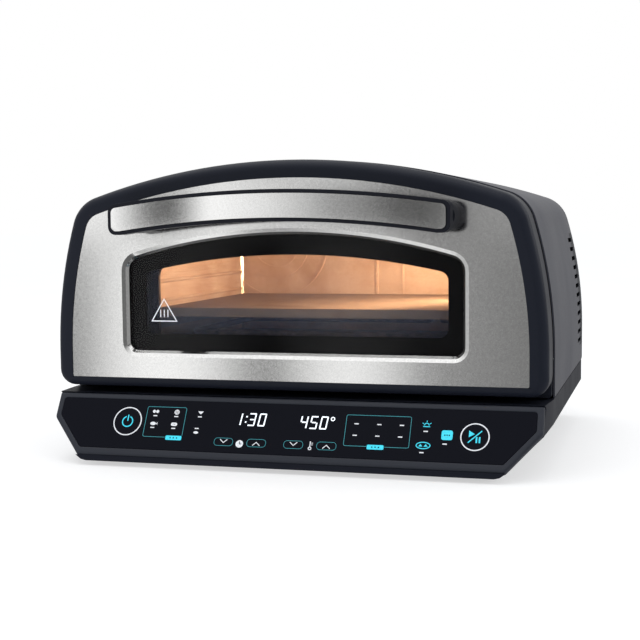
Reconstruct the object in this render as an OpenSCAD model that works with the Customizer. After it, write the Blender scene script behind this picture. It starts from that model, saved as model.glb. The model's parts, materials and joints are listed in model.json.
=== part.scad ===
// Countertop electric pizza oven with an arched housing, a drop-down glass door,
// a wide arched handle and a tilted touch control panel.
// Millimetres. +Z is up, -Y is the front, X is centred on the oven.
// The origin is the middle of the footprint, on the table.
// Lengths along Y inside the modules are measured back from the door's steel face.

/* [Body] */
// Half of the housing's width
half_w = 255.5; // [240:0.5:270]
// Height of the housing's crown above the table
crown_z = 307.4; // [290:0.1:330]
// Door face to the back of the rear cover
body_depth = 414; // [380:1:440]
// Radius of the arched top
top_r = 664; // [600:1:800]
// Radius of the bowed upper sides
side_r = 465; // [400:1:700]
// Height at which the sides start to bow in
side_z = 115; // [100:1:140]
// Radius of the housing's upper corners
corner_r = 38; // [25:1:50]
// Housing sheet thickness
sheet = 1.6; // [1:0.1:3]
// How far the housing stands out past the door's outline
lap = 1.2; // [0:0.1:3]
// Depth of the dark vent strips at the rear of the sides
strip_deep = 37; // [20:1:60]

/* [Base] */
// Height of the feet
foot_h = 5; // [3:0.5:8]
// Height of the ledge in front of the door
ledge_z = 70.5; // [66:0.5:76]
// Height at which the base starts to taper in
taper_z = 46; // [38:0.5:56]
// Half of the base's width at its underside
base_half = 208.7; // [200:0.1:230]
// Half of the control panel's width
panel_half = 252.2; // [240:0.1:260]
// Lean of the control panel back from vertical, degrees
panel_tilt = 30.4; // [20:0.1:40]
// Length of the control panel down its slope
panel_len = 67.3; // [60:0.1:75]

/* [Door] */
// Width of the dark rim round the steel door panel
rim_w = 17.8; // [14:0.1:24]
// Depth of the door
door_t = 40; // [34:0.5:44]
// Radius of the rim's rounded front edge
rim_r = 10; // [6:0.5:12]
// Height of the door's lower edge
door_z = 76.8; // [75:0.1:80]
// Radius of the door's lower corners
door_corner = 17; // [12:0.5:20]
// Height of the door's pivot
pivot_z = 94; // [92:0.5:97]
// Pivot distance behind the door face
pivot_y = 18; // [16:0.5:20]
// Half of the clear window's width
clear_half = 158.5; // [150:0.5:162]

/* [Handle] */
// Distance from the door face to the front of the handle
reach = 50.6; // [40:0.1:60]
// Half of the steel grip plate's length
grip_half = 166.8; // [150:0.1:175]
// Height of the steel grip plate
grip_h = 23.3; // [18:0.1:28]
// Radius of the handle's arch
handle_r = 1090; // [900:5:1500]
// Height of the grip plate's highest point
grip_top = 273.3; // [268:0.1:278]

/* [Cavity] */
// Half of the cavity's width
cavity_half = 170; // [160:1:175]
// Height of the cavity floor
floor_z = 110; // [106:1:116]
// Height of the cavity ceiling
ceiling_z = 241; // [236:1:246]
// Back wall's distance behind the door face
back_y = 341; // [320:1:350]
// Top face of the baking stone
stone_z = 155.8; // [150:0.1:160]
// Thickness of the baking stone
stone_t = 9.5; // [8:0.5:15]

/* [Hidden] */
screw_head = 1.4;
total_depth = body_depth + screw_head + reach;
front = reach - total_depth / 2;
base_z = foot_h;
crown_c = [0, crown_z - top_r];
side_c = [half_w - side_r, side_z];
corner_c = circles_meet(crown_c, top_r - corner_r, side_c, side_r - corner_r);
corner_low = atan2(corner_c[1] - side_c[1], corner_c[0] - side_c[0]);
corner_high = atan2(corner_c[1] - crown_c[1], corner_c[0] - crown_c[0]);
panel_y = -0.9;
panel_z = 69.4;
panel_deep = 7;
panel_top = 1.1;
base_side = half_w + lap - 0.5;
strip_y = body_depth - 4.2 - strip_deep;
strip_low = 92;
strip_high = 229;
fixed_y = 41.5;
shell_y = 51.5;
fan_x = -122.5;
fan_z = 219;
lamp_y = 215;
lamp_z = 206;
arm_x = 221;
stone_low = stone_z - stone_t;
corner_strip = 3;
ink = 0.2;

dark = [0.13, 0.14, 0.17];
grey = [0.42, 0.42, 0.45];
steel = [0.75, 0.75, 0.74];
black = [0.05, 0.05, 0.06];
liner = [0.62, 0.56, 0.48];

// ---- outlines ----

function arc(c, r, a0, a1, n) = [
    for (i = [0 : n]) c + r * [cos(a0 + (a1 - a0) * i / n), sin(a0 + (a1 - a0) * i / n)]
];

function mirrored(right) = concat(
    right,
    [for (i = [len(right) - 1 : -1 : 0]) if (right[i][0] > 0.01) [-right[i][0], right[i][1]]]
);

// The crossing of two circles that lies to the right and above
function circles_meet(p, rp, q, rq) =
    let (
        d = norm(q - p),
        along = (rp * rp - rq * rq + d * d) / (2 * d),
        across = sqrt(rp * rp - along * along),
        u = (q - p) / d
    )
    p + along * u + across * [u[1], -u[0]];

// The housing's arched outline, drawn in by d, with a flat foot at height low
function arch(d, low, foot_r) = mirrored(concat(
    arc([half_w - d - foot_r, low + foot_r], foot_r, -90, 0, 6),
    arc(side_c, side_r - d, 0, corner_low, 12),
    slice(arc(corner_c, corner_r - d, corner_low, corner_high, 10), 1),
    slice(arc(crown_c, top_r - d, corner_high, 90, 16), 1)
));

function slice(list, from) = [for (i = [from : len(list) - 1]) list[i]];

// A window: straight sides and foot, arched top
function window(half, low, high, r, top_c, foot_c) =
    let (
        c = [half - top_c, high - r + sqrt(pow(r - top_c, 2) - pow(half - top_c, 2))],
        a = atan2(c[1] - high + r, c[0])
    )
    mirrored(concat(
        arc([half - foot_c, low + foot_c], foot_c, -90, 0, 6),
        arc(c, top_c, 0, a, 6),
        slice(arc([0, high - r], r, a, 90, 16), 1)
    ));

// The handle's arched bar, drawn in by d
function bar(half, high, low, end_r) =
    let (
        z0 = high - handle_r,
        out = asin((half - end_r) / handle_r)
    )
    concat(
        arc([0, z0], handle_r, 90 - out, 90 + out, 24),
        arc_end(-1, half, high, low, end_r, z0, out),
        arc([0, z0], handle_r - high + low, 90 + out, 90 - out, 24),
        arc_end(1, half, high, low, end_r, z0, out)
    );

function arc_end(s, half, high, low, r, z0, out) =
    let (
        x = half - r,
        top = z0 + handle_r * cos(out) - r,
        foot = z0 + (handle_r - high + low) * cos(out) + r
    )
    s < 0
        ? concat(arc([-x, top], r, 96, 180, 6), arc([-x, foot], r, 180, 264, 6))
        : concat(arc([x, foot], r, 276, 360, 6), arc([x, top], r, 0, 84, 6));

// The control panel's six-sided outline in its own plane, drawn in by d
function panel_outline(d, r) =
    let (
        side = panel_half - d,
        knee = (taper_z - panel_z) / cos(panel_tilt),
        foot = -panel_len,
        toe = base_half + 9.8,
        run = [panel_half - toe, knee - foot],
        p = [toe, foot] + [-run[1], run[0]] / norm(run) * d,
        bend = p[1] + (side - p[0]) / run[0] * run[1],
        low = foot + 1.28 * d,
        toe_in = p[0] + (low - p[1]) / run[1] * run[0],
        top = panel_top - d,
        corners = [
            [-side, top], [-side, bend], [-toe_in, low],
            [toe_in, low], [side, bend], [side, top]
        ]
    )
    rounded(corners, r, 4);

// A polygon with rounded corners; r is one radius or a list with one for each corner
function rounded(pts, r, n) = [
    for (i = [0 : len(pts) - 1])
    let (
        p = pts[i],
        q = is_list(r) ? r[i] : r,
        a = pts[(i + len(pts) - 1) % len(pts)] - p,
        b = pts[(i + 1) % len(pts)] - p,
        ua = a / norm(a),
        ub = b / norm(b),
        half = acos(ua * ub) / 2,
        m = (ua + ub) / norm(ua + ub),
        c = p + m * q / sin(half),
        s = atan2((p + ua * q / tan(half) - c)[1], (p + ua * q / tan(half) - c)[0]),
        e = atan2((p + ub * q / tan(half) - c)[1], (p + ub * q / tan(half) - c)[0]),
        turn = e - s > 180 ? e - s - 360 : (e - s < -180 ? e - s + 360 : e - s)
    )
    for (k = [0 : n]) c + q * [cos(s + turn * k / n), sin(s + turn * k / n)]
];

// The base's cross-section
function base_section(d) =
    let (
        k = d * 0.41
    )
    mirrored([
        [base_half - k, base_z + d],
        [base_half + 5.5 - k, base_z + 1.3 + d * 0.8],
        [base_half + 9.5 - d * 0.8, base_z + 4.3 + k],
        [base_side - d, taper_z + k],
        [base_side - d, ledge_z - d]
    ]);

// ---- building blocks ----

// Everything behind the door face
module behind(y = 0) {
    translate([0, front + y, 0]) children();
}

// A flat shape in X and Z, thickened backwards by t from y
module plate(pts, y, t) {
    behind(y + t) rotate([90, 0, 0]) linear_extrude(t) polygon(pts);
}

// A closed ring whose section follows matching loops in turn
module ring_skin(loops, depths, flat = false) {
    n = len(loops[0]);
    m = len(loops);
    pts = [
        for (k = [0 : m - 1])
        for (p = loops[k])
        flat ? [p[0], p[1], depths[k]] : [p[0], depths[k], p[1]]
    ];
    faces = [
        for (k = [0 : m - 1])
        for (i = [0 : n - 1])
        let (
            a = k * n + i,
            b = k * n + (i + 1) % n,
            c = ((k + 1) % m) * n + (i + 1) % n,
            d = ((k + 1) % m) * n + i
        )
        flat ? [a, b, c, d] : [d, c, b, a]
    ];
    polyhedron(pts, faces);
}

// The control panel's own plane: X across, Y up the slope, Z out of the face
module on_panel() {
    behind(panel_y) translate([0, 0, panel_z]) rotate([90 - panel_tilt, 0, 0]) children();
}

module both_sides() {
    children();
    mirror([1, 0, 0]) children();
}

module rod_y(r, y0, y1) {
    behind(y1) rotate([90, 0, 0]) cylinder(r = r, h = y1 - y0, $fn = 48);
}

module rod_x(r, x0, x1) {
    translate([x0, 0, 0]) rotate([0, 90, 0]) cylinder(r = r, h = x1 - x0, $fn = 48);
}

module slot_x(w, h, t) {
    for (s = [-1, 1]) translate([0, s * (w - h) / 2, 0]) rod_x(h / 2, -t, t);
    translate([-t, -(w - h) / 2, -h / 2]) cube([2 * t, w - h, h]);
}

// ---- housing ----

module housing_shell() {
    color(grey)
    difference() {
        plate(arch(-lap, ledge_z + 0.5, 1.5), shell_y, body_depth - 4.2 - shell_y);
        plate(arch(sheet - lap, ledge_z - 10, 1.5), shell_y - 1, body_depth);
        vent_slots();
        behind(strip_y) translate([-300, 0, strip_low]) cube([600, 60, strip_high - strip_low]);
    }
}

// Dark strips that fill the notches in the housing's rear edges
module vent_strips() {
    color(dark)
    difference() {
        plate(arch(-lap, ledge_z + 0.5, 1.5), strip_y + 0.15, strip_deep - 0.15);
        plate(arch(sheet - lap, ledge_z - 10, 1.5), strip_y - 1, strip_deep + 2);
        behind(strip_y) translate([-300, -1, ledge_z - 1])
            cube([600, 60, strip_low + 0.15 - ledge_z + 1]);
        behind(strip_y) translate([-300, -1, strip_high - 0.15]) cube([600, 60, 200]);
        vent_slots();
    }
}

// The row of slots that runs from the housing's sides into the vent strips
module vent_slots() {
    for (i = [0 : 11])
        behind(strip_y - 5) translate([0, 0, 99.6 + i * 11.05]) slot_x(46, 5, 300);
}

// Fixed plate behind the door, with the oven's mouth in it
module front_frame() {
    color(dark)
    difference() {
        plate(arch(2.4 - lap, ledge_z + 1.5, 3), fixed_y, shell_y + 6 - fixed_y);
        plate(window(cavity_half - 4, floor_z + 3, ceiling_z - 4, 4000, 6, 6), 0, 100);
        plate(arch(6 - lap, ledge_z + 6, 3), fixed_y + 3, 30);
    }
    color(dark)
    difference() {
        plate(window(cavity_half + 1.2, floor_z - 2, ceiling_z + 1, 4000, 6, 6), fixed_y + 2.9, 6);
        plate(window(cavity_half - 4, floor_z + 3, ceiling_z - 4, 4000, 6, 6), 0, 100);
    }
}

module back_cover() {
    color(dark)
    difference() {
        plate(arch(-lap, ledge_z + 0.5, 3), body_depth - 4, 4);
        for (s = [-1, 1])
            for (i = [0 : 8])
                behind(body_depth - 3) translate([s * 110, 0, 130 + i * 12])
                rotate([0, 0, 90]) slot_x(120, 5, 8);
        for (p = cover_screws()) translate([p[0], 0, p[1]]) rod_y(1.9, body_depth - 10, body_depth + 1);
    }
}

function cover_screws() = [
    for (s = [-1, 1])
    for (p = [[60, 295], [190, 270], [243, 180], [243, 90], [90, 82]]) [s * p[0], p[1]]
];

module back_screws() {
    color(steel)
    for (p = cover_screws()) {
        translate([p[0], 0, p[1]]) rod_y(1.7, body_depth - 4, body_depth - 0.9);
        translate([p[0], 0, p[1]]) rod_y(3.6, body_depth + 0.05, body_depth + screw_head);
        translate([p[0], 0, p[1]]) rod_y(1.7, body_depth - 1, body_depth + 0.1);
    }
}

// ---- base ----

module base_shell() {
    color(dark)
    difference() {
        plate(base_section(0), -34.5, body_depth - 5 + 34.5);
        plate(base_section(7.2), -25, 55.1);
        plate(base_section(2.6), 30, body_depth - 8 - 30);
        both_sides() behind() linear_extrude(ledge_z + 1)
            polygon([[panel_half, -40], [panel_half, panel_y], [base_side, fixed_y],
                     [300, fixed_y], [300, -40]]);
        behind(8) translate([-207, 0, base_z - 1]) cube([414, body_depth - 28, 6]);
        on_panel() translate([-300, -panel_len - 0.15, -panel_deep - 0.15])
            cube([600, panel_len + panel_top + 0.3, 80]);
        on_panel() translate([-300, -panel_len - 0.15, 0]) cube([600, 200, 80]);
        translate([180, 0, 36]) rod_y(8.2, body_depth - 12, body_depth);
        for (i = [0 : 5])
            behind(body_depth - 8) translate([-120 + i * 18, 0, 40])
            rotate([0, 0, 90]) rotate([90, 0, 0]) slot_x(30, 4, 8);
    }
}

module bottom_plate() {
    color(steel)
    difference() {
        behind(8.5) translate([-206.5, 0, base_z]) cube([413, body_depth - 29, 1.5]);
        for (p = foot_spots()) behind(p[1]) translate([p[0], 0, 0]) cylinder(r = 4.2, h = 20, $fn = 48);
        for (i = [0 : 14])
            behind(150) translate([-84 + i * 12, 0, 0]) translate([0, 0, base_z - 1]) cube([4, 90, 4]);
    }
}

function foot_spots() = [
    for (s = [-1, 1])
    for (y = [34, body_depth - 50]) [s * 178, y]
];

module bottom_screws() {
    color(steel)
    for (s = [-1, 1])
        for (y = [60, 207, 330])
            behind(y) translate([s * 196, 0, base_z - 1.3]) cylinder(r = 3.2, h = 1.25, $fn = 32);
}

module feet() {
    color(black)
    for (p = foot_spots())
        behind(p[1]) translate([p[0], 0, 0]) {
            cylinder(r1 = 11.5, r2 = 13, h = foot_h - 0.05, $fn = 64);
            cylinder(r = 4, h = foot_h + 1.4, $fn = 48);
        }
}

// Gland where a supply cord comes in
module cord_gland() {
    color(black)
    translate([180, 0, 36])
    difference() {
        union() {
            rod_y(8, body_depth - 11.5, body_depth - 4);
            rod_y(11, body_depth - 4.9, body_depth - 2.4);
            rod_y(6.8, body_depth - 3, body_depth + 1);
        }
        rod_y(4, body_depth - 20, body_depth + 5);
    }
}

// ---- control panel ----

module control_frame() {
    outer = [2, 6, 4, 4, 6, 2];
    inner = [3, 5, 3, 3, 5, 3];
    color(grey * 0.75)
    on_panel() ring_skin(
        [
            panel_outline(0, outer), panel_outline(0, outer), panel_outline(0.5, outer),
            panel_outline(1.4, outer), panel_outline(2.6, outer), panel_outline(5.9, inner),
            panel_outline(6.4, inner), panel_outline(6.4, inner)
        ],
        [-panel_deep, -2.6, -1.2, -0.4, 0, 0, -0.6, -panel_deep],
        true
    );
}

module touch_glass() {
    color(black)
    on_panel() translate([0, 0, -2.6]) linear_extrude(2.2)
        polygon(panel_outline(6.6, [2.8, 5, 2.8, 2.8, 5, 2.8]));
}

module panel_backer() {
    color(dark)
    on_panel() translate([0, 0, -5.6]) linear_extrude(2.9)
        polygon(panel_outline(6.7, [2.8, 5, 2.8, 2.8, 5, 2.8]));
}

module control_board() {
    color([0.1, 0.3, 0.15])
    on_panel() {
        translate([-190, -50, -9.2]) cube([380, 40, 1.6]);
        for (x = [-35, 36]) translate([x - 24, -38, -7.6]) cube([48, 20, 1.9]);
    }
}

// Seven segments, lit bits in the order top, upper right, lower right, foot, lower left, upper left, middle
module digit(lit, w, h) {
    t = 1.25;
    bars = [
        [0.4, h - t, w - 0.8, t], [w - t, h / 2 + 0.2, t, h / 2 - 0.9],
        [w - t, 0.7, t, h / 2 - 0.9], [0.4, 0, w - 0.8, t],
        [0, 0.7, t, h / 2 - 0.9], [0, h / 2 + 0.2, t, h / 2 - 0.9],
        [1.6, h / 2 - t / 2, w - 3.2, t]
    ];
    for (i = [0 : 6])
        if (lit[i] == 1) leaning_bar(bars[i][0], bars[i][1], bars[i][2], bars[i][3]);
}

// A bar whose upper end leans to the right
module leaning_bar(x, y, w, h) {
    lean = 0.1;
    linear_extrude(ink) polygon([
        [x + lean * y, y], [x + w + lean * y, y],
        [x + w + lean * (y + h), y + h], [x + lean * (y + h), y + h]
    ]);
}

module display_digits() {
    zero = [1, 1, 1, 1, 1, 1, 0];
    one = [0, 1, 1, 0, 0, 0, 0];
    three = [1, 1, 1, 1, 0, 0, 1];
    four = [0, 1, 1, 0, 0, 1, 1];
    five = [1, 0, 1, 1, 0, 1, 1];
    tall = 13.6;
    wide = 7.3;
    color([0.95, 0.97, 1])
    on_panel() translate([0, 0, -0.38]) {
        translate([0, -29.8, 0]) {
            translate([-54.4, 0, 0]) digit(one, wide, tall);
            translate([-43.2, 0, 0]) for (y = [3.2, 9]) leaning_bar(0, y, 1.5, 1.5);
            translate([-40, 0, 0]) digit(three, wide, tall);
            translate([-29.4, 0, 0]) digit(zero, wide, tall);
        }
        translate([0, -30.6, 0]) {
            translate([14.2, 0, 0]) digit(four, wide, tall);
            translate([24.4, 0, 0]) digit(five, wide, tall);
            translate([34.6, 0, 0]) digit(zero, wide, tall);
            translate([47.6, 11.2, 0]) flat_ring(2.2, 1.3);
        }
    }
}

module flat_ring(r, hole) {
    difference() {
        cylinder(r = r, h = ink, $fn = 64);
        translate([0, 0, -1]) cylinder(r = hole, h = 3, $fn = 64);
    }
}

// A thin outline of a rounded box, w by h about its centre
module box_line(w, h, r, line) {
    difference() {
        linear_extrude(ink) polygon(rounded([[-w, -h], [w, -h], [w, h], [-w, h]] / 2, r, 5));
        translate([0, 0, -1]) linear_extrude(3)
            polygon(rounded([[line - w, line - h], [w - line, line - h],
                [w - line, h - line], [line - w, h - line]] / 2, r - line / 2, 5));
    }
}

// A chevron pointing up, or down with flip
module chevron(w, flip) {
    h = w * 0.45;
    t = 1;
    scale_y = flip ? -1 : 1;
    linear_extrude(ink) polygon([
        [-w / 2, -h / 2 * scale_y], [0, h / 2 * scale_y], [w / 2, -h / 2 * scale_y],
        [w / 2, (-h / 2 - t) * scale_y], [0, (h / 2 - t) * scale_y], [-w / 2, (-h / 2 - t) * scale_y]
    ]);
}

// A filled, round-cornered patch with three dots cut out of it
module patch(w, h, r) {
    difference() {
        linear_extrude(ink) polygon(rounded([[-w, -h], [w, -h], [w, h], [-w, h]] / 2, r, 4));
        for (x = [-0.2 * w, 0, 0.2 * w])
            translate([x, 0, -1]) cylinder(r = 0.75, h = 3, $fn = 32);
    }
}

function oval(a, b) = [for (t = [0 : 15 : 345]) [a * cos(t), b * sin(t)]];

// Plain program symbols: two rounds, a grill, a leaf and a bun
module round_pair() {
    for (x = [-1.9, 1.7]) translate([x, 0, 0]) cylinder(r = 1.65, h = ink, $fn = 32);
}

module grill() {
    difference() {
        cylinder(r = 2.7, h = ink, $fn = 48);
        for (x = [-1.5, -0.3, 0.9]) translate([x, -1.7, -1]) cube([0.6, 3.4, 3]);
    }
}

module leaf() {
    linear_extrude(ink) polygon(oval(3, 1.8));
    linear_extrude(ink) polygon([[3.3, 0], [4.7, 1.5], [4.7, -1.5]]);
}

module bun() {
    difference() {
        linear_extrude(ink) polygon(rounded([[-3.3, -1.7], [3.3, -1.7], [3.3, 1.9], [-3.3, 1.9]], 1.6, 4));
        for (x = [-1.4, 0.4]) translate([x, -0.6, -1]) cube([0.6, 1.6, 3]);
    }
}

// The small bar of an indicator lamp
module lamp_bar(x, y) {
    translate([x - 2.1, y, 0]) cube([4.2, 1.1, ink]);
}

module marks_white() {
    color([0.9, 0.9, 0.92])
    on_panel() translate([0, 0, -0.38]) {
        translate([-169.5, -29.5, 0]) flat_ring(15.5, 14.4);
        translate([188.5, -32.6, 0]) flat_ring(14, 12.9);
        // program symbols, each with its lamp
        translate([-140.2, -17.8, 0]) round_pair();
        translate([-117.2, -17.9, 0]) grill();
        translate([-141, -31, 0]) leaf();
        translate([-118, -31.2, 0]) bun();
        lamp_bar(-140.2, -23);
        lamp_bar(-117.2, -23.2);
        lamp_bar(-141, -35.9);
        lamp_bar(-118, -36.1);
        translate([-91.4, -17.6, 0]) linear_extrude(ink) polygon([[-3, 1.4], [3, 1.4], [0.5, -1.4], [-0.5, -1.4]]);
        lamp_bar(-91.6, -22.6);
        lamp_bar(-92.8, -35.2);
        translate([-93, -39, 0]) linear_extrude(ink) polygon(oval(2.6, 1.3));
        // menu lamps
        for (x = [71.9, 94.7, 117.1]) lamp_bar(x, -24);
        for (x = [71.5, 94, 116.5]) lamp_bar(x, -36);
        lamp_bar(140.8, -29.2);
        lamp_bar(138.8, -50.9);
        lamp_bar(160.2, -41.4);
        // up and down arrows
        for (x = [-62, 10.8]) translate([x, -47.3, 0]) chevron(7.6, true);
        for (x = [-27.5, 44.5]) translate([x, -48.1, 0]) chevron(7.6, false);
        // clock
        translate([-44.9, -49.2, 0])
            difference() {
                cylinder(r = 3.9, h = ink, $fn = 64);
                translate([-0.4, -0.4, -1]) cube([0.8, 3.1, 3]);
                translate([-0.4, -0.4, -1]) cube([2.4, 0.8, 3]);
            }
        // thermometer
        translate([27.9, -50.8, 0]) {
            flat_ring(1.8, 0.9);
            translate([-0.45, 1.6, 0]) cube([0.9, 5.6, ink]);
            for (y = [3.4, 5.2]) translate([1.1, y, 0]) cube([1.7, 0.6, ink]);
        }
    }
}

module marks_cyan() {
    color([0.15, 0.8, 0.9])
    on_panel() translate([0, 0, -0.38]) {
        // power symbol
        translate([-169.5, -29.8, 0]) {
            difference() {
                flat_ring(6.1, 5);
                translate([-2.1, 2, -1]) cube([4.2, 6, 3]);
            }
            translate([-0.55, 0.6, 0]) cube([1.1, 6.6, ink]);
        }
        // start and pause symbol
        translate([188.5, -32.8, 0]) {
            linear_extrude(ink) polygon([[-5.9, 6.6], [-5.9, -0.2], [-0.3, 3.2]]);
            linear_extrude(ink) polygon([[-6.7, -5.3], [-6, -6], [6.7, 6.2], [6, 6.9]]);
            for (x = [0.9, 3.8]) translate([x, -5.7, 0]) cube([1.5, 6, ink]);
        }
        // lit patches
        translate([-116, -45.7, 0]) patch(17.2, 4.7, 1.2);
        translate([93.1, -46.9, 0]) patch(16.6, 4.7, 1.2);
        translate([161.8, -31.8, 0]) patch(10.8, 9.8, 2);
        // lamp symbol
        translate([141.3, -22.6, 0]) {
            difference() {
                flat_ring(2.7, 1.9);
                translate([-4, -4, -1]) cube([8, 4, 3]);
            }
            translate([-3.4, -1.6, 0]) cube([6.8, 0.8, ink]);
            for (a = [30, 90, 150]) rotate([0, 0, a]) translate([3.4, -0.35, 0]) cube([1.5, 0.7, ink]);
        }
        // expert symbol
        translate([139.6, -43.1, 0]) {
            difference() {
                linear_extrude(ink) polygon(oval(7.2, 3.7));
                translate([0, 0, -1]) linear_extrude(3) polygon(oval(6.3, 2.8));
            }
            for (x = [-2.6, 2.6])
                translate([x, 0, 0]) linear_extrude(ink) polygon([[-2, -1.1], [2, -1.1], [0, 1.5]]);
        }
    }
}

module marks_teal() {
    color([0.12, 0.42, 0.45])
    on_panel() translate([0, 0, -0.38]) {
        difference() {
            union() {
                translate([-128.5, -29, 0]) box_line(43, 33, 2, 0.9);
                translate([93.6, -30.4, 0]) box_line(65, 32.5, 2, 0.9);
            }
            translate([-125.2, -49, -1]) cube([18.4, 6, 3]);
            translate([84.2, -50, -1]) cube([17.8, 6, 3]);
        }
        for (x = [-62, -27.5, 10.8, 44.5])
            translate([x, -47.7, 0]) box_line(20, 8.4, 3.6, 0.8);
    }
}

module power_board() {
    color([0.1, 0.3, 0.15])
    behind(240) translate([40, 0, 24]) cube([120, 90, 1.6]);
    color(black)
    behind(240) {
        translate([50, 12, 25.6]) cube([30, 26, 20]);
        translate([50, 50, 25.6]) cube([19, 16, 15]);
        translate([78, 50, 25.6]) cube([19, 16, 15]);
        translate([112, 14, 25.6]) cube([34, 42, 24]);
        for (x = [44, 152])
            for (y = [5, 82])
                translate([x, y, base_z + 1.6]) cylinder(r = 3, h = 22.3 - base_z, $fn = 32);
    }
}

// ---- door ----

module door_rim() {
    color(dark)
    difference() {
        behind() ring_skin(
            concat(
                [for (a = [0 : 15 : 90]) arch(rim_r * (1 - cos(a)), door_z + rim_r * (1 - cos(a)),
                    door_corner - rim_r * (1 - cos(a)))],
                [
                    arch(rim_w, door_z + 9.1, 3), arch(rim_w, door_z + 9.1, 3),
                    arch(rim_w + 3, door_z + 12, 3), arch(rim_w + 3, door_z + 12, 3),
                    arch(0, door_z, door_corner)
                ]
            ),
            concat(
                [for (a = [0 : 15 : 90]) rim_r * (1 - sin(a)) - 0.8],
                [-0.8, 1.4, 1.4, door_t, door_t]
            )
        );
        heel_relief();
        arm_slots();
    }
}

// Clears the door's lower back edge so it can turn about the pivot
module heel_relief() {
    behind(pivot_y) translate([-300, 0, 0])
    difference() {
        cube([600, 60, pivot_z]);
        translate([0, 0, pivot_z]) rod_x(21, -1, 601);
    }
}

module arm_slots() {
    both_sides() behind(8.6) translate([arm_x - 4.5, 0, door_z - 10]) cube([9, 60, pivot_z + 10.5 - door_z + 10]);
}

// The window rim's outline, drawn in by d
function rim_line(d) = window(181 - d, 108 + d, 240.8 - d, 593 - d, 21 - d, 16 - d);

module door_panel() {
    color(steel)
    difference() {
        plate(arch(rim_w + 0.2, door_z + 9.3, 3), 0, 1.2);
        plate(rim_line(0.5), -1, 5);
    }
    color(steel)
    behind() ring_skin(
        [rim_line(0), rim_line(1), rim_line(4.6), rim_line(7), rim_line(7), rim_line(0)],
        [0, 0, 1.9, 5.2, 6, 2.4]
    );
}

module outer_glass() {
    color([0.2, 0.2, 0.22, 0.35])
    plate(rim_line(4), 6.2, 4);
}

module glass_print() {
    color(black)
    difference() {
        plate(rim_line(4), 10.25, 0.5);
        plate(window(clear_half, 132, 213.3, 700, 10, 9), 9, 4);
    }
}

// Plain triangle mark on the glass
module glass_mark() {
    mark_x = -135.9;
    color([0.9, 0.9, 0.9])
    difference() {
        plate([[mark_x - 14.6, 144.9], [mark_x + 14.6, 144.9], [mark_x, 169]], 5.95, ink);
        plate([[mark_x - 12.7, 146], [mark_x + 12.7, 146], [mark_x, 167]], 5, 2);
    }
    color([0.9, 0.9, 0.9])
    for (x = [-4, 0, 4])
        behind(5.95) translate([mark_x + x - 0.5, 0, 149.4]) cube([1, ink, 7.8]);
}

module inner_glass() {
    color([0.2, 0.2, 0.22, 0.35])
    plate(window(166, 117, 228, 620, 10, 8), 31.8, 3);
}

module door_back_pan() {
    color(dark * 0.8)
    difference() {
        plate(arch(rim_w + 3.2, pivot_z - 5, 3), 35, door_t - 35);
        plate(window(154, 124, 219, 700, 15, 7), 30, 20);
        plate(window(167, 116, 229, 621, 11, 9), 30, 5.2);
        arm_slots();
    }
}

// Posts that hold the back pan off the front panel
module door_spacers() {
    color(steel)
    for (x = [-196, -70, 70, 196])
        translate([x, 0, abs(x) > 100 ? 232 : 259]) rod_y(4, 1.35, 34.9);
    color(steel)
    for (x = [-120, 0, 120]) translate([x, 0, 102]) rod_y(3.5, 1.35, 34.9);
}

module hinge_blocks() {
    color(steel)
    both_sides()
    difference() {
        union() {
            for (x = [arm_x - 13.5, arm_x + 4.8])
                behind(1.35) translate([x, 0, pivot_z - 7.8]) cube([8.7, 26, 17.8]);
        }
        behind(pivot_y) translate([0, 0, pivot_z]) rod_x(3.05, arm_x - 40, arm_x + 40);
        plate_cut();
    }
}

// Keeps the outer hinge block inside the door rim
module plate_cut() {
    difference() {
        behind(-5) translate([0, 0, 60]) cube([300, 60, 80]);
        plate(arch(rim_w + 3.15, door_z + 12.1, 3), -6, 70);
    }
}

// ---- handle ----

module handle_body() {
    color(black)
    difference() {
        plate(bar(grip_half + 4, grip_top + 3.8, grip_top - grip_h - 3.6, 8), 1.5 - reach, 17);
        plate(bar(grip_half + 0.25, grip_top + 0.25, grip_top - grip_h - 0.25, 5.2), -reach, 3);
    }
}

module handle_grip() {
    color(steel)
    plate(bar(grip_half, grip_top, grip_top - grip_h, 5), -reach, 2.9);
}

module handle_legs() {
    color(black)
    both_sides() {
        leg_x = 172 - 14.4;
        leg_z = grip_top + 0.1 - grip_h / 2 - 11.6;
        slope = asin(leg_x / handle_r);
        translate([leg_x, 0, leg_z]) rod_y(14.4, 18.6 - reach, -0.1);
        behind(18.6 - reach) translate([leg_x, 0, leg_z]) rotate([0, slope, 0])
            translate([-13, 0, -14.39]) cube([13, reach - 18.7, 28.78]);
    }
}

module handle_screws() {
    color(steel)
    both_sides()
    for (x = [150, 163])
        translate([x, 0, 250.5]) rod_y(3.4, 1.3, 3.6);
}

// ---- hinge ----

module hinge_arms() {
    color(steel)
    both_sides()
    difference() {
        union() {
            behind(pivot_y) translate([0, 0, pivot_z]) rod_x(8, arm_x - 3, arm_x + 3);
            behind(pivot_y) translate([arm_x - 3, 0, pivot_z - 8])
                cube([6, fixed_y - pivot_y - 0.1, 16]);
        }
        behind(pivot_y) translate([0, 0, pivot_z]) rod_x(3, arm_x - 10, arm_x + 10);
    }
}

module hinge_pins() {
    color(steel)
    both_sides() behind(pivot_y) translate([0, 0, pivot_z]) rod_x(2.98, arm_x - 13.5, arm_x + 13);
}

module door_gasket() {
    color([0.25, 0.24, 0.23])
    difference() {
        plate(window(cavity_half + 4, floor_z - 5, ceiling_z + 3, 4000, 10, 10), door_t + 0.35, 1.1);
        plate(window(cavity_half - 2, floor_z + 1, ceiling_z - 2, 4000, 7, 7), door_t - 1, 5);
    }
}

// ---- cavity ----

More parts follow.
